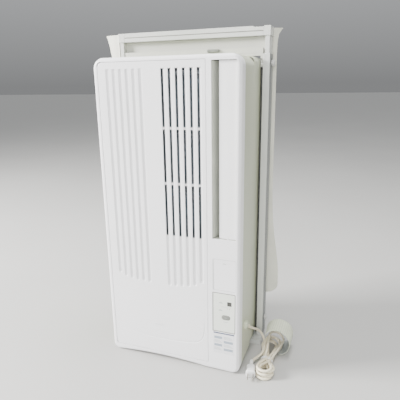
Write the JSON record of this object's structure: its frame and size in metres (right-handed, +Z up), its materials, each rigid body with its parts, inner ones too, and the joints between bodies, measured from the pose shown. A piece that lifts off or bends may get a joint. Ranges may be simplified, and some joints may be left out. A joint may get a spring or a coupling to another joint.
{
  "type": "window air conditioner",
  "caption": "Slim upright window air conditioner with a fluted hinged intake panel, tall side outlet, control panel, telescopic mounting frame and mains lead.",
  "frame": {"origin": "middle of the underside of the mounting frame's sill, where it stands on the window sill or the floor", "axes": "+X to the right as seen from the room, +Y towards the outdoors, +Z up"},
  "size_m": [0.5246, 0.2527, 0.818],
  "materials": {
    "shell": "satin",
    "case": "gloss",
    "panel": "satin",
    "vane": "satin",
    "display": "gloss",
    "button": "satin",
    "duct": "matt",
    "filter": "matt",
    "rotor": "matt",
    "fins": "bright",
    "copper": "drawn copper",
    "steel": "galvanised",
    "black_steel": "black paint",
    "capacitor": "satin",
    "foam": "matt",
    "circuit": "satin",
    "frame": "white paint",
    "board": "matt",
    "knob": "satin",
    "seal": "soft vinyl",
    "cord": "satin vinyl",
    "wrap": "satin vinyl",
    "pins": "nickelled"
  },
  "bodies": {
    "unit": {"front_bezel": "shell", "indoor_case": "case", "rear_casing": "case", "rear_cover": "case", "control_panel": "panel", "display_window": "display", "outlet_duct": "duct", "scroll_casing": "duct", "evaporator_fins": "fins", "condenser_fins": "fins", "evaporator_coil": "copper", "condenser_coil": "copper", "suction_pipe": "copper", "discharge_pipe": "copper", "base_pan": "steel", "cross_flow_motor": "steel", "electrical_box": "steel", "outdoor_fan_motor": "steel", "fan_shroud": "steel", "compressor": "black_steel", "compressor_base": "black_steel", "accumulator": "black_steel", "run_capacitor": "capacitor", "partition": "foam", "drain_pan": "foam", "control_board": "circuit", "frame_sill": "frame", "frame_left_rail": "frame", "frame_right_rail": "frame", "frame_crossbar": "frame", "left_seal_fin": "seal", "right_seal_fin": "seal", "power_cord": "cord", "cord_tail": "cord", "cord_hank": "cord", "cord_tie": "cord", "cord_relief": "cord", "plug_body": "cord", "cord_wrap": "wrap", "plug_pins": "pins"},
    "intake_door": {"intake_door": "shell"},
    "air_filter": {"air_filter": "filter"},
    "air_vane": {"air_vane": "vane"},
    "deflector_1": {"deflector_1": "duct"},
    "deflector_2": {"deflector_2": "duct"},
    "deflector_3": {"deflector_3": "duct"},
    "deflector_4": {"deflector_4": "duct"},
    "deflector_link": {"deflector_link": "duct"},
    "cross_flow_rotor": {"cross_flow_rotor": "rotor"},
    "outdoor_fan": {"outdoor_fan": "rotor"},
    "power_button": {"power_button": "button"},
    "extension": {"extension_top_rail": "frame", "extension_left_rail": "frame", "extension_right_rail": "frame", "filler_board": "board"},
    "sash_latch": {"sash_latch": "button"},
    "clamp_screw_left": {"clamp_screw_left": "knob"},
    "clamp_screw_right": {"clamp_screw_right": "knob"},
    "lock_screw_left": {"lock_screw_left": "knob"},
    "lock_screw_right": {"lock_screw_right": "knob"}
  },
  "joints": [
    {"name": "door_hinge", "type": "hinge", "parent": "unit", "child": "intake_door", "pos_m": [-0.1605, -0.17, 0.38], "axis": [0, 0, 1], "range_deg": [-100, 0]},
    {"name": "filter_slide", "type": "slide", "parent": "unit", "child": "air_filter", "axis": [-1, 0, 0], "range_m": [0, 0.25]},
    {"name": "vane_swing", "type": "hinge", "parent": "unit", "child": "air_vane", "pos_m": [0.1445, -0.165, 0.543], "axis": [0, 0, 1], "range_deg": [-30, 35]},
    {"name": "deflector_1_tilt", "type": "hinge", "parent": "unit", "child": "deflector_1", "pos_m": [0.137, -0.1395, 0.4], "axis": [1, 0, 0], "range_deg": [-25, 25]},
    {"name": "deflector_2_tilt", "type": "hinge", "parent": "unit", "child": "deflector_2", "pos_m": [0.137, -0.1395, 0.49], "axis": [1, 0, 0], "range_deg": [-25, 25]},
    {"name": "deflector_3_tilt", "type": "hinge", "parent": "unit", "child": "deflector_3", "pos_m": [0.137, -0.1395, 0.58], "axis": [1, 0, 0], "range_deg": [-25, 25]},
    {"name": "deflector_4_tilt", "type": "hinge", "parent": "unit", "child": "deflector_4", "pos_m": [0.137, -0.1395, 0.67], "axis": [1, 0, 0], "range_deg": [-25, 25]},
    {"name": "deflector_link_slide", "type": "slide", "parent": "unit", "child": "deflector_link", "axis": [0, 0, 1], "range_m": [-0.0045, 0.0045]},
    {"name": "cross_flow_spin", "type": "hinge", "parent": "unit", "child": "cross_flow_rotor", "pos_m": [0.13, -0.0945, 0.54], "axis": [0, 0, 1], "continuous": true},
    {"name": "outdoor_fan_spin", "type": "hinge", "parent": "unit", "child": "outdoor_fan", "pos_m": [0, -0.0025, 0.52], "axis": [0, 1, 0], "continuous": true},
    {"name": "power_button_press", "type": "slide", "parent": "unit", "child": "power_button", "axis": [0, 1, 0], "range_m": [0, 0.0012], "stiffness_N_per_m": 600, "springref_m": -0.0006},
    {"name": "extension_slide", "type": "slide", "parent": "unit", "child": "extension", "axis": [0, 0, 1], "range_m": [0, 0.42]},
    {"name": "sash_latch_turn", "type": "hinge", "parent": "unit", "child": "sash_latch", "pos_m": [0.048, -0.0095, 0.767], "axis": [0, 1, 0], "range_deg": [-90, 0]},
    {"name": "clamp_screw_left_turn", "type": "hinge", "parent": "unit", "child": "clamp_screw_left", "pos_m": [-0.198, 0.0125, 0.062], "axis": [1, 0, 0], "continuous": true},
    {"name": "lock_screw_left_turn", "type": "hinge", "parent": "unit", "child": "lock_screw_left", "pos_m": [-0.198, 0.0125, 0.736], "axis": [1, 0, 0], "continuous": true},
    {"name": "clamp_screw_right_turn", "type": "hinge", "parent": "unit", "child": "clamp_screw_right", "pos_m": [0.198, 0.0125, 0.062], "axis": [1, 0, 0], "continuous": true},
    {"name": "lock_screw_right_turn", "type": "hinge", "parent": "unit", "child": "lock_screw_right", "pos_m": [0.198, 0.0125, 0.736], "axis": [1, 0, 0], "continuous": true}
  ],
  "couplings": [
    {"joint": "deflector_2_tilt", "follows": "deflector_1_tilt", "ratio": 1},
    {"joint": "deflector_3_tilt", "follows": "deflector_1_tilt", "ratio": 1},
    {"joint": "deflector_4_tilt", "follows": "deflector_1_tilt", "ratio": 1}
  ]
}
